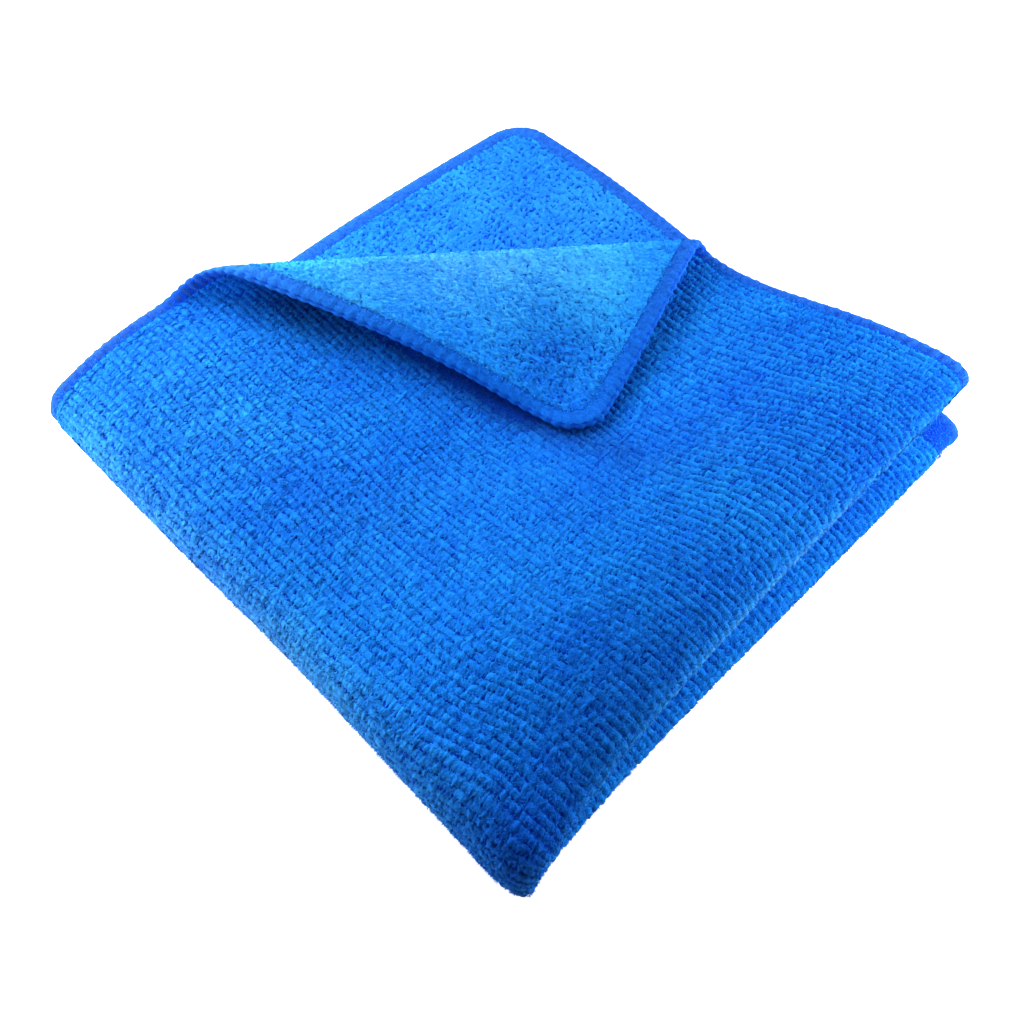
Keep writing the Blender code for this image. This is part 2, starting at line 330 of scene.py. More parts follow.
# How unevenly things are made, as shares.
UNEVEN = {
    "loop": (0.78, 1.18),
    "loop width": (0.85, 1.2),
    "loop length": (0.9, 1.12),
    "loop corner": (0.82, 1.18),
    "loop top": (0.86, 1.06),
    "fibre root": (0.8, 0.98),
    "thread": (0.6, 1.25),
    "scallop": (0.75, 1.2),
    "hem fibre inset": (0.1, 0.9),
}
LOOP_LEAN = 0.12
LOOP_TURNS = 0.7
LOOP_SWELLS = (0.5, 0.6, 0.45)  # in long and in short swells, and from loop to loop
LEAST_LOOP = 0.25
ROUGHNESS = (0.4, 0.9)  # how much it drifts, and how much it rises in its place
ROUGH_LIMITS = (0.6, 2.0)

# Soft random fields over the flat cloth: the length of their swells, and their seeds.
FIELDS = {
    "row bow": (34 * MM, 3),
    "loop turn": (12 * MM, 5),
    "long swell": (9 * MM, 8),
    "short swell": (3.2 * MM, 17),
    "wander": (9 * MM, 13),
    "roughness": (30 * MM, 21),
    "pits": (1.5 * MM, 31),
}
FIELD_WAVES = 7
WAVE_LENGTHS = (0.7, 1.5)  # as shares of the field's length
WANDER_STRETCH = 6
RANDOM = np.random.default_rng(11)


def vary(name, count):
    """Random shares within what UNEVEN gives."""
    return RANDOM.uniform(*UNEVEN[name], count)


def smooth(low, high, value):
    """0 below low, 1 above high, and a soft step between them."""
    t = np.clip((value - low) / (high - low), 0, 1)
    return t * t * (3 - 2 * t)


def running_sum(values, step):
    """The integral of evenly spaced values, by trapezia."""
    return np.concatenate([[0], np.cumsum((values[1:] + values[:-1]) / 2 * step)])


# The section of a soft fold, for a decay length of 1.
DECAYS = 10
NOSE_STEPS = 1000
NOSE_AT = np.linspace(0, DECAYS, NOSE_STEPS + 1)
NOSE_SLOPE = math.pi / 2 * np.exp(-NOSE_AT)
NOSE_RISE = running_sum(np.sin(NOSE_SLOPE), DECAYS / NOSE_STEPS)
NOSE_RUN = running_sum(np.cos(NOSE_SLOPE), DECAYS / NOSE_STEPS)
CREST = NOSE_RISE[-1]


def nose(distance, crest):
    """How far in from a fold, and at what share of its crest, the cloth is at a distance."""
    decay = crest / CREST
    beyond = np.maximum(distance - DECAYS * decay, 0)
    run = np.interp(distance / decay, NOSE_AT, NOSE_RUN) * decay + beyond
    share = np.interp(distance / decay, NOSE_AT, NOSE_RISE) / CREST
    return run, share


def spacings(from_first, from_second):
    """Half the pitch in the upper and lower halves, and the pitch between those halves."""
    swell = 1 - smooth(SWELL_FROM, SWELL_TO, from_first)
    open_end = smooth(PINCH_FROM, PINCH_TO, from_second)
    pinched = FLAT_HALF + (PINCHED_HALF - FLAT_HALF) * swell
    upper = pinched + (UPPER_SWELL_HALF - PINCHED_HALF) * swell * open_end
    lower = pinched + (LOWER_SWELL_HALF - PINCHED_HALF) * swell * open_end
    loft = SECOND_FOLD_LOFT * (1 - smooth(LOFT_FROM, LOFT_TO, from_second))
    return upper, lower, LAYER_PITCH + loft * (1 - swell * (1 - SWELL_LOFT_SHARE))


def stray(name, t):
    """How far a fold or hem is off the square, at a share t of its length."""
    start, end, bow, sway = (value * MM for value in STRAY[name])
    line = start * (1 - t) + end * t
    return line + bow * np.sin(math.pi * t) + sway * np.sin(2 * math.pi * t)


def stack(p, q):
    """The four folded layers' middle surface, before the corner is turned over."""
    from_first, from_second = np.abs(p), np.abs(q)
    along_second, along_first = from_first / HALF, from_second / HALF
    outer = np.where(p >= 0, 1.0, -1.0)
    is_upper = q >= 0
    above = np.where(is_upper, 1.0, -1.0)

    upper, lower, between = spacings(from_first, from_second)
    upper_crest, lower_crest, _ = spacings(0 * from_first, from_second)
    run, share = nose(from_first, np.where(is_upper, upper_crest, lower_crest))
    offset = np.where(is_upper, upper, lower) * share * outer

    middle = (upper + lower + between) / 2
    bend = sum(spacings(from_first, 0 * from_second)) / 2
    turn = np.minimum(from_second / bend, math.pi / 2)
    inward = bend * (1 - np.cos(turn)) + np.maximum(0, from_second - bend * math.pi / 2)

    joined = 1 - smooth(0, FOLD_JOIN, from_second)
    upper_stray = stray("upper first fold", along_first)
    lower_stray = stray("lower first fold", along_first)
    fold_stray = np.where(is_upper, upper_stray, lower_stray) * (1 - joined)
    tip = TIP_PULL * np.exp(-(from_first + from_second) / TIP_REACH)
    x = FIRST_FOLD_X - PILE_THICKNESS / 2 - run + fold_stray * (1 - along_second) + tip
    y = SECOND_FOLD_Y + PILE_THICKNESS / 2 + FLAT_HALF + inward - offset * np.cos(turn)
    y = y + stray("second fold", along_second) * (1 - along_first) - tip
    z = PILE_THICKNESS / 2 + lower + middle + above * (middle + offset) * np.sin(turn)

    for layer, here in (
        ("top", (outer > 0) & is_upper),
        ("third", (outer < 0) & is_upper),
        ("second", (outer < 0) & (q < 0)),
        ("bottom", (outer > 0) & (q < 0)),
    ):
        y = y + here * stray(layer + " back hem", along_second) * along_first**2
        x = x + here * stray(layer + " left hem", along_first) * along_second**2
    return x, y, z


def top_layer_height(x, y):
    """The height of the top layer's middle surface above a place on the ground."""
    from_first = np.maximum(FIRST_FOLD_X - x, 0)
    from_second = np.maximum(y - SECOND_FOLD_Y, 0)
    upper, lower, between = spacings(from_first, from_second)
    return PILE_THICKNESS / 2 + 2 * lower + between + 2 * upper


RIDGE_LENGTH = math.dist(RIDGE_LEFT, RIDGE_RIGHT)
RIDGE_ALONG = (RIDGE_RIGHT - RIDGE_LEFT) / RIDGE_LENGTH
RIDGE_OUT = np.array([-RIDGE_ALONG[1], RIDGE_ALONG[0]])


def ridge_place(x, y):
    """Distances along the ridge from its left end, and beyond it towards the back corner."""
    east, north = x - RIDGE_LEFT[0], y - RIDGE_LEFT[1]
    along = east * RIDGE_ALONG[0] + north * RIDGE_ALONG[1]
    beyond = east * RIDGE_OUT[0] + north * RIDGE_OUT[1]
    return along, beyond


def ground_place(along, beyond):
    x = RIDGE_LEFT[0] + along * RIDGE_ALONG[0] + beyond * RIDGE_OUT[0]
    y = RIDGE_LEFT[1] + along * RIDGE_ALONG[1] + beyond * RIDGE_OUT[1]
    return x, y


def oval(x, y, middle_x, middle_y, length, width, degrees):
    """How near (x, y) is to the middle of an oval, from 0 to 1. The oval is in millimetres."""
    direction = math.radians(degrees)
    east, north = x / MM - middle_x, y / MM - middle_y
    along = east * math.cos(direction) + north * math.sin(direction)
    across = north * math.cos(direction) - east * math.sin(direction)
    return np.exp(-((along / length) ** 2) - (across / width) ** 2)


def lift(x, y):
    """How far the top layer stands off the one beneath: in its soft places and at the ridge."""
    along, beyond = ridge_place(x, y)
    towards_left = 1 - (1 - LIFT_LEFT_AT_RIGHT) * smooth(0, LIFT_LENGTH, along)
    at_ridge = LIFT * towards_left * (1 - smooth(0, LIFT_WIDTH, -beyond))
    return at_ridge + sum(height * MM * oval(x, y, *place) for *place, height in SOFT_PLACES.values())


def roll_radius(along):
    return ROLL_LEFT + (ROLL_RIGHT - ROLL_LEFT) * np.clip(along / RIDGE_LENGTH, 0, 1)


def travel_over_ridge(p, q):
    """How far past the start of the roll a place on the top layer is, and the roll's radius there."""
    x, y, _ = stack(p, q)
    along, beyond = ridge_place(x, y)
    radius = roll_radius(along)
    return beyond + radius, radius


def turn_over(p, q, x, y, z):
    """Lift the top layer to the ridge, and roll what lies beyond it over onto the layer."""
    top = (p >= 0) & (q >= 0)
    along, beyond = ridge_place(x, y)
    radius = roll_radius(along)
    travel = beyond + radius
    rolled = top & (travel > 0)
    turn = np.clip(travel / radius, 0, math.pi)
    past_roll = np.maximum(0, travel - math.pi * radius)
    settled = smooth(0, FLAP_REACH, past_roll)
    rise = np.where(
        past_roll > 0,
        LAYER_PITCH + (2 * radius - LAYER_PITCH) * (1 - settled),
        radius * (1 - np.cos(turn)),
    )
    over_x, over_y = ground_place(along, radius * (np.sin(turn) - 1) - past_roll)
    over_z = top_layer_height(over_x, over_y) + lift(over_x, over_y) + rise
    lifted = z + top * lift(x, y)
    return np.where(rolled, over_x, x), np.where(rolled, over_y, y), np.where(rolled, over_z, lifted)


def fold(p, q):
    """The middle surface of the folded cloth, as an array of points."""
    x, y, z = stack(p, q)
    return np.stack(turn_over(p, q, x, y, z), axis=-1)


def unit(vectors):
    return vectors / np.linalg.norm(vectors, axis=-1, keepdims=True)


def surface(p, q):
    """Points on the folded cloth, the directions of p and q there, and the normal of face A."""
    along_p = unit(fold(p + PROBE, q) - fold(p - PROBE, q))
    along_q = unit(fold(p, q + PROBE) - fold(p, q - PROBE))
    return fold(p, q), along_p, along_q, unit(np.cross(along_q, along_p))


def from_edge(p, q):
    """How far a place on the flat cloth is from its edge."""
    past_p, past_q = np.abs(p) - (HALF - CORNER_RADIUS), np.abs(q) - (HALF - CORNER_RADIUS)
    outside = np.hypot(np.maximum(past_p, 0), np.maximum(past_q, 0))
    return CORNER_RADIUS - outside - np.minimum(np.maximum(past_p, past_q), 0)


# The pieces' meshes.


def tint_and_painted_light(patches, face, p, q):
    """How light places on one face of the flat cloth look, from their patches of tint and of painted light
    and shade: red, green and blue factors.
    """
    light = np.ones((len(p), 3))
    for its_face, *place, red, green, blue in patches:
        if its_face == face:
            light = light * np.array((red, green, blue)) ** oval(p, q, *place)[:, None]
    return light


def new_piece(name, points, faces, flat, shares, material):
    """An object of triangles or quads, with its flat place and its tone and height as attributes."""
    count, sides = faces.shape
    mesh = bpy.data.meshes.new(name)
    mesh.vertices.add(len(points))
    mesh.vertices.foreach_set("co", points.astype(np.float32).ravel())
    mesh.loops.add(count * sides)
    mesh.loops.foreach_set("vertex_index", faces.astype(np.int32).ravel())
    mesh.polygons.add(count)
    mesh.polygons.foreach_set("loop_start", np.arange(0, count * sides, sides, dtype=np.int32))
    mesh.polygons.foreach_set("use_smooth", np.ones(count, dtype=bool))
    places = mesh.uv_layers.new(name="flat")
    places.data.foreach_set("uv", flat[faces.ravel()].astype(np.float32).ravel())
    for attribute, values in shares.items():
        is_single = values.ndim == 1
        layer = mesh.attributes.new(attribute, "FLOAT" if is_single else "FLOAT_VECTOR", "POINT")
        layer.data.foreach_set("value" if is_single else "vector", values.astype(np.float32).ravel())
    mesh.update(calc_edges=True)
    mesh.validate()
    mesh.materials.append(material)
    piece = bpy.data.objects.new(name, mesh)
    bpy.context.scene.collection.objects.link(piece)
    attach(piece, "root")
    return piece


def quads(index):
    """The four corners of each quad in a grid of vertex numbers."""
    return index[:-1, :-1], index[1:, :-1], index[1:, 1:], index[:-1, 1:]


def side_lines(step):
    """Where the sheet's grid lines cross one side of the flat cloth, from its crease out."""
    fine = np.arange(0, FINE_REACH, FINE_STEP)
    middle_end = HALF - HEM_WIDTH
    rest = np.linspace(FINE_REACH, middle_end, round((middle_end - FINE_REACH) / step) + 1)
    return np.concatenate([fine, rest, [HALF - HEM_WIDTH / 2, HALF]])


def make_sheet(material):
    """The knitted ground of the cloth: the whole square, folded, with a little thickness."""
    coarse, fine = side_lines(HIDDEN_STEP), side_lines(TOP_STEP)
    lines = np.concatenate([-coarse[:0:-1], fine])
    q, p = np.meshgrid(lines, lines, indexing="ij")
    inner = HALF - CORNER_RADIUS
    past_p, past_q = np.abs(p) - inner, np.abs(q) - inner
    in_corner = (past_p > 0) & (past_q > 0)
    to_corner = np.maximum(np.hypot(past_p, past_q), MM / 10)
    scale = np.where(in_corner, np.maximum(past_p, past_q) / to_corner, 1)
    p = np.where(in_corner, np.sign(p) * (inner + past_p * scale), p)
    q = np.where(in_corner, np.sign(q) * (inner + past_q * scale), q)
    size = len(lines)
    index = np.arange(size * size).reshape(size, size)
    faces = np.stack([corner.ravel() for corner in quads(index)], axis=1)
    p, q = p.ravel(), q.ravel()
    # at height 0 the sheet takes the painted valley shade
    still = {"tone": np.full(len(p), 0.5), "height": np.zeros(len(p)), "tint_and_painted_light": np.ones((len(p), 3))}
    sheet = new_piece("cloth_sheet", fold(p, q), faces, np.stack([p, q], axis=1), still, material)
    solid = sheet.modifiers.new("thickness", "SOLIDIFY")
    solid.thickness = SHEET_THICKNESS
    solid.offset = 0
    solid.use_quality_normals = True
    return sheet


def drift(name, p, q, length=None):
    """A soft random field between about -1 and 1, in swells as long as FIELDS or the length says."""
    usual_length, seed = FIELDS[name]
    source = np.random.default_rng(seed)
    total = 0
    for _ in range(FIELD_WAVES):
        direction, phase = source.uniform(0, 2 * math.pi, 2)
        pace = 2 * math.pi / ((length or usual_length) * source.uniform(*WAVE_LENGTHS))
        total = total + np.sin((p * math.cos(direction) + q * math.sin(direction)) * pace + phase)
    return total / math.sqrt(FIELD_WAVES)


def even_lines(axis, pitch, even_at=EVEN_AT):
    """Flat coordinates of lines that lie evenly over the folded cloth's outer face, and their steps."""
    reach = HALF - PILE_FROM_EDGE[1]
    at = np.linspace(-reach, reach, LINE_SAMPLES)
    other = np.full_like(at, even_at)
    middle, _, _, normal = surface(*((at, other) if axis == 0 else (other, at)))
    outer = middle + normal * LOOP_TOP
    walked = np.concatenate([[0], np.cumsum(np.linalg.norm(np.diff(outer, axis=0), axis=1))])
    count = round(walked[-1] / pitch)
    lines = np.interp((np.arange(count) + 0.5) * walked[-1] / count, walked, at)
    return lines, np.gradient(lines)


def loop_places(row_pitch, loop_pitch):
    """The flat places of every loop of the pile's rows, and the steps between them."""
    rows, row_steps = even_lines(1, row_pitch * MM)
    along, loop_steps = even_lines(0, loop_pitch * MM)
    q, p = np.meshgrid(rows, along, indexing="ij")
    step_q, step_p = np.meshgrid(row_steps, loop_steps, indexing="ij")
    odd = np.arange(len(rows))[:, None] % 2
    p = p + odd * step_p / 2
    q = row_shift(p, q)
    return p.ravel(), q.ravel(), step_p.ravel(), step_q.ravel()


def row_shift(p, q):
    """Where a place on a row goes, as the rows bow a little and run askew in one place."""
    turn = 2 * math.pi / CLOSE_LENGTH
    q = q + ROW_BOW * drift("row bow", p, q) - CLOSER / turn * np.sin((q - CLOSEST_AT) * turn)
    return q - ASKEW_SLOPE * (p - ASKEW_PLACE[0] * MM) * patch(p, q, *ASKEW_PLACE)


def patch(p, q, middle_p, middle_q, reach):
    """How near flat places are to the middle of a round patch, from 0 to 1."""
    return oval(p, q, middle_p, middle_q, reach, reach, 0)


def roughness(p, q):
    drifts, rises = ROUGHNESS
    rough = 1 + drifts * drift("roughness", p, q) + rises * patch(p, q, *ROUGH_PLACES[1])
    return np.clip(rough, *ROUGH_LIMITS)


def spacing(p, q, step_p, step_q, height, face):
    """How far apart neighbouring loops' tops are on the folded cloth."""
    out = []
    for way_p, way_q in ((step_p / 2, 0), (0, step_q / 2)):
        before, _, _, normal_before = surface(p - way_p, q - way_q)
        after, _, _, normal_after = surface(p + way_p, q + way_q)
        span = after + normal_after * height * face - before - normal_before * height * face
        out.append(np.linalg.norm(span, axis=1))
    return out


# A loop's outline and its top, as shares of its half width and half length.
LOOP_FOOTPRINT = (
    (0.55, -1.0), (1.0, -0.5), (1.0, 0.5), (0.55, 1.0),
    (-0.55, 1.0), (-1.0, 0.5), (-1.0, -0.5), (-0.55, -1.0),
)
LOOP_CROWN = ((1.0, -1.0), (1.0, 1.0), (-1.0, 1.0), (-1.0, -1.0))
LOOP_FACES = np.array([
    (0, 1, 8), (1, 2, 8), (2, 9, 8), (2, 3, 9), (3, 4, 9), (4, 10, 9),
    (4, 5, 10), (5, 6, 10), (6, 11, 10), (6, 7, 11), (7, 0, 11), (0, 8, 11),
    (8, 9, 10), (8, 10, 11),
])


class Loops:
    """Where the loops of one part of the pile stand, and their sizes. face is 1 for face A, -1 for B."""

    def __init__(self, places, face, style):
        p, q, step_p, step_q = places
        count = len(p)
        self.style = style
        middle_height = (LOOP_FOOT + LOOP_TOP) / 2
        apart_p, apart_q = spacing(p, q, step_p, step_q, middle_height, face)
        rough = roughness(p, q)
        jitter = style.jitter * MM * rough
        wander = style.wander * MM * drift("wander", p, q * WANDER_STRETCH)
        self.p = p + RANDOM.uniform(-1, 1, count) * jitter
        self.q = q + RANDOM.uniform(-1, 1, count) * jitter + wander
        self.middle, along_p, along_q, normal = surface(self.p, self.q)
        self.comb = (along_q * RIDGE_OUT[1] - along_p * RIDGE_OUT[0]) * style.comb
        self.normal = normal * face
        spread = LOOP_TURNS * RANDOM.normal(0, 1, count) * rough + drift("loop turn", p, q)
        turn, turn_spread = style.turn
        angle = np.radians(turn + turn_spread * spread)
        self.width_way = unit(along_p * np.cos(angle)[:, None] + along_q * np.sin(angle)[:, None])
        self.length_way = np.cross(self.normal, self.width_way)
        size = vary("loop", count)
        length_share, width_share = style.size
        self.half_width = apart_p * width_share * size * vary("loop width", count)
        self.half_length = apart_q * length_share * size * vary("loop length", count)
        in_long, in_short, each = LOOP_SWELLS
        uneven = in_long * drift("long swell", p, q) + in_short * drift("short swell", p, q)
        uneven = uneven + each * RANDOM.normal(0, 1, count) * rough
        height, height_spread = style.height
        swell = height + height_spread * uneven
        self.height = (LOOP_TOP - LOOP_FOOT) * np.clip(swell, LEAST_LOOP, HIGHEST)
        self.tone = RANDOM.uniform(0, 1, count)
        self.light = tint_and_painted_light(NAP_AND_PAINTED_LIGHT_PATCHES, face, self.p, self.q)

    def point(self, across, along, up):
        """Points at these offsets from the loops' feet."""
        side = self.width_way * across[:, None] + self.length_way * along[:, None]
        return self.middle + side + self.normal * up[:, None]


def make_pile(name, loops, material):
    """One pillow for each loop."""
    count = len(loops.p)
    lean = RANDOM.normal(0, LOOP_LEAN, (count, 2))
    points, heights = [], []
    rings = ((0.0, (1.0, 1.0), LOOP_FOOTPRINT), (1.0, loops.style.crown, LOOP_CROWN))
    for rise, shares, outline in rings:
        for across, along in outline:
            wobble = vary("loop corner", count)
            side = loops.half_width * (wobble * across * shares[1] + rise * lean[:, 0])
            out = loops.half_length * (wobble * along * shares[0] + rise * lean[:, 1])
            up = LOOP_FOOT + loops.height * rise * vary("loop top", count)
            points.append(loops.point(side, out, up))
            heights.append(np.full(count, rise))
    per_loop = len(LOOP_FOOTPRINT) + len(LOOP_CROWN)
    points = np.stack(points, axis=1).reshape(-1, 3)
    faces = (LOOP_FACES[None] + np.arange(count)[:, None, None] * per_loop).reshape(-1, 3)
    flat = np.repeat(np.stack([loops.p, loops.q], axis=1), per_loop, axis=0)
    shares = {
        "tone": np.repeat(loops.tone, per_loop),
        "tint_and_painted_light": np.repeat(loops.light, per_loop, axis=0),
        "height": np.stack(heights, axis=1).ravel(),
    }
    return new_piece(name, points, faces, flat, shares, material)


def under_flap_edge(p, q):
    """How far in from the flap's edge places on the top layer are, if the flap lies over them."""
    x, y, _ = stack(p, q)
    along, beyond = ridge_place(x, y)
    radius = roll_radius(along)
    over_x, over_y = ground_place(along, (math.pi - 2) * radius - beyond)
    inside = from_edge(FIRST_FOLD_X - over_x, over_y - SECOND_FOLD_Y)
    return np.where((beyond < 0) & (p > 0) & (q > 0), inside, -HALF)


def make_bed(name, face, style, region, material):
    """The pile as one sheet of small facets that rise and fall in ribs, beads and pits."""
    bed = BEDS[style]
    rib_pitch, bead_pitch = bed.pitches
    profile, bead = np.array(bed.profile), np.array(bed.bead)
    lines = [*even_lines(1, rib_pitch * MM), *even_lines(1, rib_pitch * MM, EVEN_AT_TIP)]
    fewest = min(map(len, lines))  # which leaves the first few of the longer ones out
    mids, steps, tip_mids, tip_steps = (line[-fewest:, None, None] for line in lines)
    along, _ = even_lines(0, bead_pitch * MM / len(bead))
    tip_share = 1 - smooth(*TIP_ROWS_TO, along)
    count = np.arange(len(along))
    shape = (fewest, len(profile), len(count))
    share, height, side_play = (column[:, None] for column in profile.T)
    is_valley = np.broadcast_to(share == -0.5, shape)
    p = np.broadcast_to(along, shape)
    rib = np.broadcast_to(mids, shape)
    step = steps + (tip_steps - steps) * tip_share
    wander = bed.wander * MM * drift("wander", p, rib * WANDER_STRETCH)
    before = np.concatenate([wander[:1], wander[:-1]])
    wander = np.where(is_valley, (wander + before) / 2, wander)
    q = rib + (tip_mids - mids) * tip_share + step * share
    near = patch(p, q, *ROUGH_PLACES[face])
    soft, by_bead, by_facet, in_valley = bed.uneven
    bead_sizes = RANDOM.normal(0, 1, (fewest, 1, len(count) // len(bead) + 1))
    bead_size = np.broadcast_to(np.repeat(bead_sizes, len(bead), axis=2)[:, :, : len(count)], shape)
    profile_height = height + is_valley * in_valley * RANDOM.normal(0, 1, shape)
    loose = sum(patch(p, q, *place) for place in LOOSE_PLACES) if face == 1 else 0
    faint = patch(p, q, *FAINT_PLACE) if face == 1 else 0
    rise = 1 - (1 - profile_height) * (1 + DEEPER * loose) * (1 - FAINTER * faint)
    plainness = LOOSER * loose - PLAINER[face] * near
    rise = rise * (1 - (1 - bead[count % len(bead)]) * (1 + plainness))
    rise = rise + by_bead * bead_size * (1 + UNEVEN_BEADS[face] * near) * ~is_valley
    rise = rise + soft * (drift("long swell", p, q) + drift("short swell", p, q))
    facet_play = 1 + ROUGHER[face] * near + LOOSE_FACETS * loose
    rise = rise + by_facet * RANDOM.normal(0, 1, shape) * facet_play
    pit_size, pit_depth, rough_depth = bed.pits
    pit = smooth(*PIT_EDGE, drift("pits", p, q, pit_size * MM))
    pit = pit * (pit_depth + (rough_depth - pit_depth) * near)
    if face == 1:
        # pressed under the flap's edge, which also paints its shadow there through the valley shade
        rise = rise * (1 - PRESSED * smooth(*PRESSED_FROM_TO, under_flap_edge(p, q)))
    rise = bed.height * rise * (1 - pit)
    stir_p, stir_q = RANDOM.uniform(-1, 1, (2, *shape)) * MM * (1 + near)
    p = p + stir_p * bed.play
    q = row_shift(p, q) + wander + stir_q * side_play
    by_bead, by_facet = bed.tone
    tone = np.clip(0.5 + by_bead * bead_size + by_facet * RANDOM.normal(0, 1, shape), 0, 1)
    p, q, rise, tone = (values.reshape(-1, len(count)) for values in (p, q, rise, tone))
    edge = from_edge(p, q) - PILE_FROM_EDGE[face]
    rise = np.clip(rise, bed.lowest, HIGHEST) * smooth(0, BED_TAPER, edge)
    shown = region(p, q) & (edge > 0)
    index = np.arange(p.size).reshape(p.shape)
    kept = shown[:-1, :-1] & shown[1:, :-1] & shown[1:, 1:] & shown[:-1, 1:]
    faces = np.stack([corner[kept] for corner in quads(index)][::face], axis=1)
    used, faces = np.unique(faces, return_inverse=True)
    p, q, rise, tone = (values.ravel()[used] for values in (p, q, rise, tone))
    middle, _, _, normal = surface(p, q)
    up = LOOP_FOOT + (LOOP_TOP - LOOP_FOOT) * rise
    points = middle + normal * (face * up)[:, None]
    shares = {"tone": tone, "tint_and_painted_light": tint_and_painted_light(NAP_AND_PAINTED_LIGHT_PATCHES, face, p, q), "height": smooth(*SHADE_RISE, rise)}
    return new_piece(name, points, faces.reshape(-1, 4), np.stack([p, q], axis=1), shares, material)


def make_fibres(name, loops, material):
    """Loose fibre ends on the loops, which blur them."""
    rows = np.repeat(np.arange(len(loops.p)), loops.style.fibres)
    count = len(rows)
    across, along = RANDOM.uniform(-1, 1, (2, count))
    fall = 1 - FIBRE_FALL * np.maximum(np.abs(across), np.abs(along)) ** 3
    normal = loops.normal[rows]
    side = loops.width_way[rows] * (loops.half_width[rows] * across)[:, None]
    side = side + loops.length_way[rows] * (loops.half_length[rows] * along)[:, None]
    root_height = LOOP_FOOT + loops.height[rows] * fall * vary("fibre root", count)
    root = loops.middle[rows] + side + normal * root_height[:, None]
    angle = RANDOM.uniform(0, 2 * math.pi, count)
    way = loops.width_way[rows] * (np.cos(angle) + FIBRE_FAN * across)[:, None]
    lie = loops.style.lie * RANDOM.choice([-1.0, 1.0], count)
    way = way + loops.length_way[rows] * (np.sin(angle) + FIBRE_FAN * along + lie)[:, None]
    flat = np.stack([loops.p, loops.q], axis=1)[rows]
    tone = loops.tone[rows] + RANDOM.uniform(-FIBRE_TONES, FIBRE_TONES, count)
    shares = (tone, loops.light[rows], FIBRE_SHADE * fall)
    return new_blades(name, root, unit(way + loops.comb[rows]), normal, flat, shares, material)


def new_blades(name, root, way, normal, flat, shares, material):
    """Thin triangular blades from these roots, each leaning its own way."""
    count = len(root)
    tone, light, height = shares
    tilt = np.radians(RANDOM.uniform(*FIBRE_TILTS, count))[:, None]
    up = way * np.cos(tilt) + normal * np.sin(tilt)
    across = unit(np.cross(up, normal)) * (RANDOM.uniform(*FIBRE_WIDTHS, count) / 2)[:, None]
    tip = root + up * RANDOM.uniform(*FIBRE_LENGTHS, count)[:, None]
    points = np.stack([root - across, root + across, tip], axis=1).reshape(-1, 3)
    faces = np.arange(3 * count).reshape(-1, 3)
    shares = {
        "tone": np.repeat(np.clip(tone, 0, 1), 3),
        "tint_and_painted_light": np.repeat(light, 3, axis=0),
        "height": (height[:, None] * [1.0, 1.0, FIBRE_TIP_SHADE]).ravel(),
    }
    return new_piece(name, points, faces, np.repeat(flat, 3, axis=0), shares, material)


def outside(p, q):
    """Whether the cloth shows its ribbed outer face at flat places: on top and round both folds."""
    travel, radius = travel_over_ridge(p, q)
    under_flap = (p > 0) & (q > 0) & (travel > math.pi * radius) & (from_edge(p, q) > HEM_STRIP)
    return (p > -FOLD_STRIP) & ((q > -FOLD_STRIP) | (p < FRONT_STRIP)) & ~under_flap


def on_top(p, q):
    return outside(p, q) & (q > -FOLD_STRIP)


def uncovered(p, q):
    """Whether flat places are on the part of the third layer from which the corner was turned."""
    x, y, _ = stack(p, q)
    _, beyond = ridge_place(x, y)
    return (p < 0) & (q > 0) & (beyond > -BEFORE_RIDGE)


def turned_over(p, q):
    """Whether flat places are on the turned-over corner or its roll."""
    travel, _ = travel_over_ridge(p, q)
    return (p > 0) & (q > 0) & (travel > -BEFORE_ROLL)


def where_pile_shows(p, q):
    """Which of the flat places can be seen, for each face of each part of the folded cloth."""
    edge = from_edge(p, q)
    inside, inside_b = edge > PILE_FROM_EDGE[1], edge > PILE_FROM_EDGE[-1]
    by_hem = inside & (edge < HEM_STRIP)
    by_hem_b = inside_b & by_hem & (np.minimum(np.abs(p), np.abs(q)) > BEND_STRIP)
    return {
        "top": (1, "rows", inside & on_top(p, q)),
        "front": (1, "rows", inside & outside(p, q) & (q <= -FOLD_STRIP)),
        "underside": (1, "plain", (p > FRONT_STRIP) & (q < -FOLD_STRIP) & inside),
        "inner_front": (1, "plain", (p <= -FOLD_STRIP) & by_hem),
        "corner": (-1, "brushed", inside_b & turned_over(p, q)),
        "inner_top": (-1, "clumps", (p > 0) & (q > 0) & by_hem_b & ~turned_over(p, q)),
        "third_layer": (-1, "clumps", inside_b & uncovered(p, q)),
        "inner_third": (-1, "clumps", (p < 0) & (q > 0) & by_hem_b & ~uncovered(p, q)),
        "inner_back": (-1, "clumps", (q < 0) & by_hem_b),
    }


def make_all_pile(materials):
    """The pile wherever it can be seen: outside the folds, on the turned-over corner and by the hems."""
    ribs, clumps, brushed = (materials[style] for style in ("rows", "clumps", "brushed"))
    pieces = [
        make_bed("pile_top_left", 1, "ribs", lambda p, q: on_top(p, q) & (p > HALVED_AT - MM), ribs),
        make_bed("pile_top_right", 1, "ribs", lambda p, q: on_top(p, q) & (p < HALVED_AT), ribs),
        make_bed("pile_front", 1, "ribs", lambda p, q: outside(p, q) & (q < MM - FOLD_STRIP), ribs),
        make_bed("pile_corner", -1, "speckle", turned_over, brushed),
        make_bed("pile_third_layer", -1, "clumps", uncovered, clumps),
    ]
    places = {name: loop_places(*style.pitches) for name, style in PILE_STYLES.items()}
    shown = {style: where_pile_shows(*here[:2]) for style, here in places.items()}
    for part, (face, style, _) in shown["rows"].items():
        chosen = shown[style][part][2]
        loops = Loops([values[chosen] for values in places[style]], face, PILE_STYLES[style])
        if part not in ONLY_FIBRES:
            pieces.append(make_pile("pile_" + part, loops, materials[style]))
        else:
            pieces.append(make_fibres("fibres_" + part, loops, materials[style]))
    return pieces


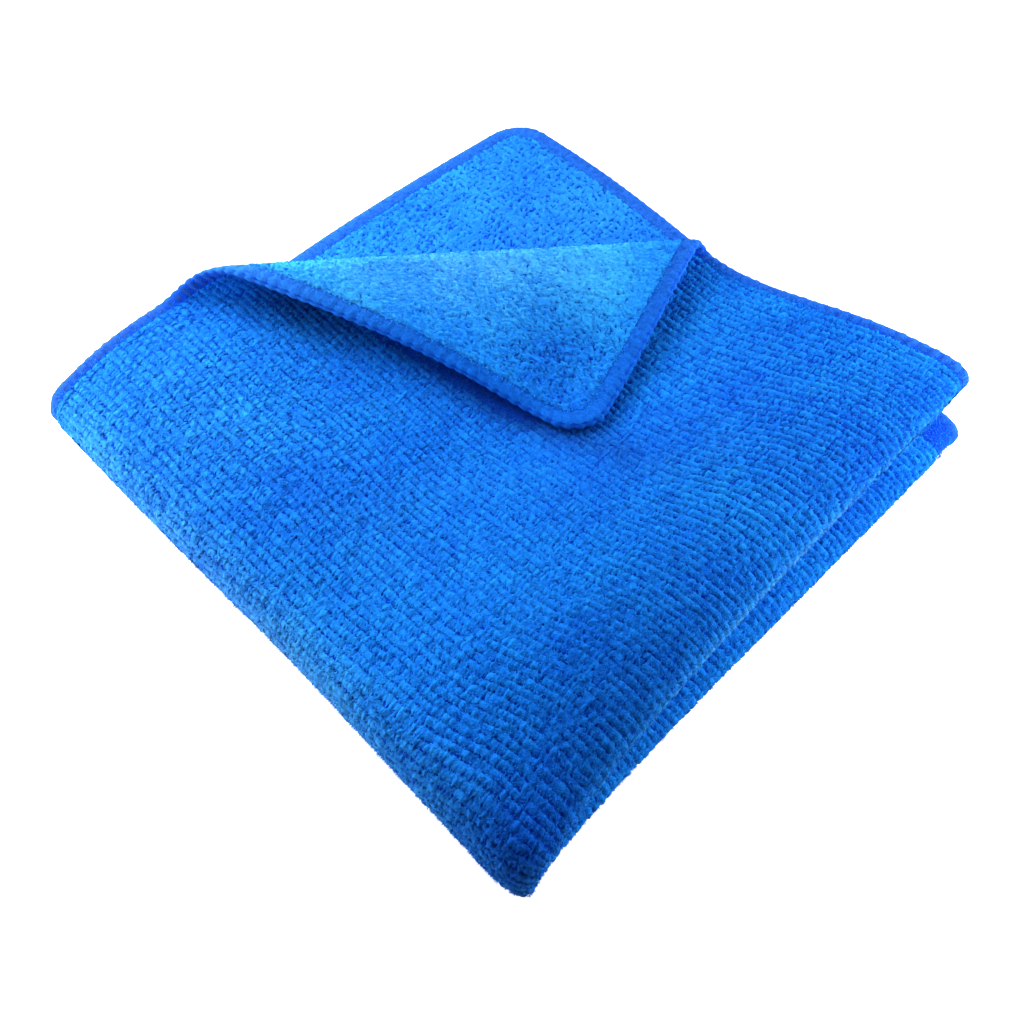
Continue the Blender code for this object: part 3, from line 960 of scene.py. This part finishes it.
def edge_walk(count):
    """Places evenly spaced along the flat cloth's edge, and the way in from each."""
    straight = SIDE - 2 * CORNER_RADIUS
    length = 4 * (straight + CORNER_ARC)
    at = np.arange(count) * length / count
    side, rest = np.divmod(at, straight + CORNER_ARC)
    turn = side * math.pi / 2 + np.maximum(rest - straight, 0) / CORNER_RADIUS
    out_p, out_q = np.cos(turn), np.sin(turn)
    base = side * math.pi / 2
    centre_p = (HALF - CORNER_RADIUS) * (np.cos(base) - np.sin(base))
    centre_q = (HALF - CORNER_RADIUS) * (np.sin(base) + np.cos(base))
    back = straight - np.minimum(rest, straight)
    p = centre_p + CORNER_RADIUS * out_p + back * np.sin(base)
    q = centre_q + CORNER_RADIUS * out_q - back * np.cos(base)
    return p, q, -out_p, -out_q


def make_hem(material):
    """Thread wound over the edge from face to face, its ribs gathered into scallops."""
    scallops = round(4 * (SIDE - 2 * CORNER_RADIUS + CORNER_ARC) / SCALLOP)
    per_scallop = THREADS_PER_SCALLOP * SAMPLES_PER_THREAD
    count = scallops * per_scallop
    p, q, in_p, in_q = edge_walk(count)
    step = np.arange(count)
    in_thread = np.where(step % SAMPLES_PER_THREAD == 0, 0.0, 1.0)
    thread_size = np.repeat(vary("thread", count // SAMPLES_PER_THREAD), SAMPLES_PER_THREAD)
    scallop_size = np.repeat(vary("scallop", scallops), per_scallop)
    bulge = np.abs(np.sin(math.pi * (step % per_scallop) / per_scallop)) * scallop_size
    rows = [(inset * MM, height_a * MM, 1) for inset, height_a, _ in HEM_SECTION]
    rows.append((-HEM_OUT, 0.0, -1))
    rows += [(inset * MM, height_b * MM, -1) for inset, _, height_b in reversed(HEM_SECTION)]
    points, heights, light = [], [], []
    for inset, height, face in rows:
        near_edge = 1 - smooth(0, SCALLOPED_TO, inset)
        inward = inset - SCALLOP_DEPTH * bulge * near_edge + SCALLOP_DEPTH * 0.5 * near_edge
        here_p, here_q = p + in_p * inward, q + in_q * inward
        middle, _, _, normal = surface(here_p, here_q)
        relief = THREAD_RELIEF * in_thread * thread_size * (height > RELIEF_ABOVE)
        gathered = 1 + SCALLOP_RISE[face] * (bulge - SCALLOP_MIDDLE) * (1 - smooth(*GATHERED_TO, inset))
        points.append(middle + normal * (face * (height * gathered + relief))[:, None])
        # 0 in the grooves between threads, which gives them painted shade
        heights.append(in_thread)
        light.append(tint_and_painted_light(HEM_PATCHES, face, p, q))
    across = len(rows)
    index = np.arange(count * across).reshape(across, count)
    after = np.roll(index, -1, axis=1)
    faces = np.stack([index[:-1].ravel(), index[1:].ravel(), after[1:].ravel(), after[:-1].ravel()], axis=1)
    flat = np.stack([np.tile(p, across), np.tile(q, across)], axis=1)
    tones = np.tile(thread_size - 0.5, across)
    shares = {"tone": tones, "height": np.concatenate(heights), "tint_and_painted_light": np.concatenate(light)}
    return new_piece("hem_overlock", np.concatenate(points), faces, flat, shares, material)


def make_hem_fibres(material):
    """A few loose fibre ends on the hem."""
    count = round(HEM_FIBRES * (4 * SIDE / MM) * (HEM_WIDTH / MM) * 2)
    side = RANDOM.integers(0, 4, count) * math.pi / 2
    along = RANDOM.uniform(-1, 1, count) * (HALF - CORNER_RADIUS)
    inset = vary("hem fibre inset", count) * HEM_WIDTH
    out = HALF - inset
    p = out * np.cos(side) - along * np.sin(side)
    q = out * np.sin(side) + along * np.cos(side)
    face = RANDOM.choice([-1.0, 1.0], count)[:, None]
    insets, *heights = np.array(HEM_SECTION[::-1]).T * MM
    height_a, height_b = (np.interp(inset, insets, values) for values in heights)
    height = np.where(face[:, 0] > 0, height_a, height_b)
    middle, along_p, along_q, normal = surface(p, q)
    angle = RANDOM.uniform(0, 2 * math.pi, (count, 1))
    way = unit(along_p * np.cos(angle) + along_q * np.sin(angle))
    root = middle + normal * face * height[:, None] * HEM_FIBRE_FOOT
    light = np.where(face > 0, tint_and_painted_light(HEM_PATCHES, 1, p, q), tint_and_painted_light(HEM_PATCHES, -1, p, q))
    shares = (RANDOM.uniform(0, 1, count), light, np.full(count, FIBRE_SHADE))
    flat = np.stack([p, q], axis=1)
    return new_blades("fibres_hem", root, way, normal * face, flat, shares, material)


# The materials.


class Nodes:
    """A new material's node tree, with short ways to add and join nodes."""

    def __init__(self, name):
        self.material = bpy.data.materials.new(name)
        self.material.use_nodes = True
        self.tree = self.material.node_tree
        self.shader = self.tree.nodes["Principled BSDF"]

    def add(self, kind, inputs=(), **settings):
        node = self.tree.nodes.new(kind)
        for name, value in settings.items():
            setattr(node, name, value)
        for name, value in dict(inputs).items():
            self.put(node.inputs[name], value)
        return node

    def put(self, socket, value):
        if isinstance(value, bpy.types.NodeSocket):
            self.tree.links.new(value, socket)
        else:
            socket.default_value = value

    def noise(self, scale, detail=2.0, roughness=0.5):
        place = self.add("ShaderNodeTexCoord").outputs["Object"]
        inputs = {"Vector": place, "Scale": scale, "Detail": detail, "Roughness": roughness}
        return self.add("ShaderNodeTexNoise", inputs).outputs["Fac"]

    def attribute(self, name, output="Fac"):
        return self.add("ShaderNodeAttribute", attribute_name=name).outputs[output]

    def remap(self, value, low, high, to_low, to_high):
        inputs = {"Value": value, "From Min": low, "From Max": high, "To Min": to_low, "To Max": to_high}
        return self.add("ShaderNodeMapRange", inputs).outputs["Result"]

    def mix(self, share, first, second, **settings):
        node = self.add("ShaderNodeMix", data_type="RGBA", **settings)
        for place, value in zip((0, 6, 7), (share, first, second)):
            self.put(node.inputs[place], value)
        return node.outputs[2]

    def times(self, colour, factor):
        return self.mix(1.0, colour, factor, blend_type="MULTIPLY", clamp_result=True)

    def combine(self, operation, first, second):
        return self.add("ShaderNodeMath", {0: first, 1: second}, operation=operation).outputs[0]

    def bump(self, height, distance):
        return self.add("ShaderNodeBump", {"Height": height, "Distance": distance}).outputs["Normal"]


# Each kind of pile's colours: the painted shade between the loops, the colours on their darker and lighter
# tops, and its sheen.
PILE_COLOURS = {
    "plain": ((0.0006, 0.055, 0.48, 1.0), (0.0025, 0.135, 0.80, 1.0), (0.009, 0.245, 1.0, 1.0), 0.35),
    "rows": ((0.0005, 0.045, 0.54, 1.0), (0.002, 0.14, 0.79, 1.0), (0.008, 0.275, 0.90, 1.0), 0.35),
    "clumps": ((0.0006, 0.055, 0.56, 1.0), (0.006, 0.17, 0.84, 1.0), (0.020, 0.30, 0.92, 1.0), 0.45),
    "brushed": ((0.0008, 0.085, 0.70, 1.0), (0.004, 0.20, 0.88, 1.0), (0.045, 0.50, 0.95, 1.0), 0.30),
}
# the thread's darker colour, for its mottle and for the painted shade in its grooves
HEM_DARK = (0.006, 0.070, 0.42, 1.0)
HEM_BLUE = (0.016, 0.130, 0.62, 1.0)
HEM_SHEEN = 0.15
SHEEN_BLUE = (0.06, 0.52, 1.0, 1.0)


def finish_cloth(nodes, colour, normal, sheen):
    shader = nodes.shader
    nodes.put(shader.inputs["Base Color"], colour)
    nodes.put(shader.inputs["Normal"], normal)
    shader.inputs["Roughness"].default_value = 0.95
    shader.inputs["Specular IOR Level"].default_value = 0.06
    shader.inputs["Sheen Weight"].default_value = sheen
    shader.inputs["Sheen Roughness"].default_value = 0.45
    shader.inputs["Sheen Tint"].default_value = SHEEN_BLUE
    return nodes.material


def pile_material(style):
    """Looped microfibre: a painted shade of dark blue between the loops, light on their tops, with brushed
    patches.
    """
    painted_valley_shade, middle, light, sheen = PILE_COLOURS[style]
    nodes = Nodes("microfibre_" + style)
    patches = nodes.remap(nodes.noise(38.0, 3.0, 0.55), 0.32, 0.68, 0.12, 0.78)
    tuft = nodes.remap(nodes.attribute("tone"), 0.0, 1.0, -0.22, 0.22)
    fibre = nodes.remap(nodes.noise(2400.0, 3.0, 0.65), 0.3, 0.7, -0.3, 0.3)
    share = nodes.combine("ADD", nodes.combine("ADD", patches, tuft), fibre)
    top = nodes.mix(share, middle, light)
    # the low places between the loops take the painted valley shade
    depth = nodes.remap(nodes.attribute("height"), 0.0, 0.75, 0.0, 1.0)
    # the patches of tint and of painted light and shade multiply in
    colour = nodes.times(nodes.mix(depth, painted_valley_shade, top), nodes.attribute("tint_and_painted_light", "Vector"))
    normal = nodes.bump(nodes.noise(2400.0, 3.0, 0.7), 0.45 * MM)
    return finish_cloth(nodes, colour, normal, sheen)


def hem_material():
    nodes = Nodes("hem_thread")
    patches = nodes.remap(nodes.noise(900.0, 3.0, 0.6), 0.3, 0.7, 0.1, 1.0)
    # the grooves between threads a little darker: painted shade
    ribs = nodes.remap(nodes.attribute("height"), 0.0, 1.0, 0.75, 1.0)
    share = nodes.combine("MULTIPLY", patches, ribs)
    colour = nodes.times(nodes.mix(share, HEM_DARK, HEM_BLUE), nodes.attribute("tint_and_painted_light", "Vector"))
    normal = nodes.bump(nodes.noise(1800.0, 3.0, 0.6), 0.3 * MM)
    return finish_cloth(nodes, colour, normal, HEM_SHEEN)


def floor_material():
    """A smooth white studio board, very slightly uneven in tone."""
    nodes = Nodes("studio_board")
    tone = nodes.remap(nodes.noise(3.0, 2.0, 0.5), 0.3, 0.7, 0.0, 1.0)
    nodes.put(nodes.shader.inputs["Base Color"], nodes.mix(tone, (0.86, 0.86, 0.87, 1), (0.9, 0.9, 0.9, 1)))
    nodes.shader.inputs["Roughness"].default_value = 0.85
    nodes.shader.inputs["Specular IOR Level"].default_value = 0.2
    nodes.shader.inputs["Emission Color"].default_value = (1, 1, 1, 1)
    nodes.shader.inputs["Emission Strength"].default_value = TABLE_GLOW
    return nodes.material


# The studio.


def make_floor():
    bpy.ops.mesh.primitive_plane_add(size=6.0, location=(0, 0, 0))
    floor = bpy.context.active_object
    floor.name = "studio_floor"
    floor.data.materials.append(floor_material())


def make_lamp(name):
    degrees, height, distance, width, energy = LAMPS[name]
    turn, rise = math.radians(degrees), math.radians(height)
    level = distance * math.cos(rise)
    place = Vector((level * math.cos(turn), level * math.sin(turn), distance * math.sin(rise)))
    data = bpy.data.lights.new(name, "AREA")
    data.shape = "DISK"
    data.size = width
    data.energy = energy
    lamp = bpy.data.objects.new(name, data)
    lamp.location = place
    lamp.rotation_mode = "QUATERNION"
    lamp.rotation_quaternion = (-place).to_track_quat("-Z", "Y")
    lamp.visible_camera = False
    bpy.context.scene.collection.objects.link(lamp)


def make_lights():
    for name in LAMPS:
        make_lamp(name)
    world = bpy.data.worlds.new("studio")
    world.use_nodes = True
    background = world.node_tree.nodes["Background"]
    background.inputs["Color"].default_value = (1.0, 1.0, 1.0, 1.0)
    background.inputs["Strength"].default_value = ROOM_LIGHT
    bpy.context.scene.world = world


def make_camera():
    level = math.cos(CAMERA_ELEVATION)
    x, y, z = math.sin(CAMERA_AZIMUTH), -math.cos(CAMERA_AZIMUTH), math.sin(CAMERA_ELEVATION)
    back = Vector((x * level, y * level, z))
    right = (-back).cross(Vector((0, 0, 1))).normalized()
    up = right.cross(-back)
    across = right * math.cos(CAMERA_ROLL) + up * math.sin(CAMERA_ROLL)
    upward = up * math.cos(CAMERA_ROLL) - right * math.sin(CAMERA_ROLL)
    data = bpy.data.cameras.new("camera")
    data.lens = CAMERA_LENS
    data.sensor_width = CAMERA_SENSOR
    data.clip_start = 0.01
    camera = bpy.data.objects.new("camera", data)
    turn = Matrix((across, upward, back)).transposed().to_4x4()
    camera.matrix_world = Matrix.Translation(CAMERA_TARGET + back * CAMERA_DISTANCE) @ turn
    bpy.context.scene.collection.objects.link(camera)
    bpy.context.scene.camera = camera


def main():
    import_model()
    make_camera()
    make_lights()
    make_floor()
    materials = {style: pile_material(style) for style in PILE_STYLES}
    sheet = make_sheet(materials["rows"])
    pile = make_all_pile(materials)
    thread = hem_material()
    hem = [make_hem(thread), make_hem_fibres(thread)]
    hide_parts("cloth")
    bpy.context.scene.view_settings.view_transform = "Standard"


main()
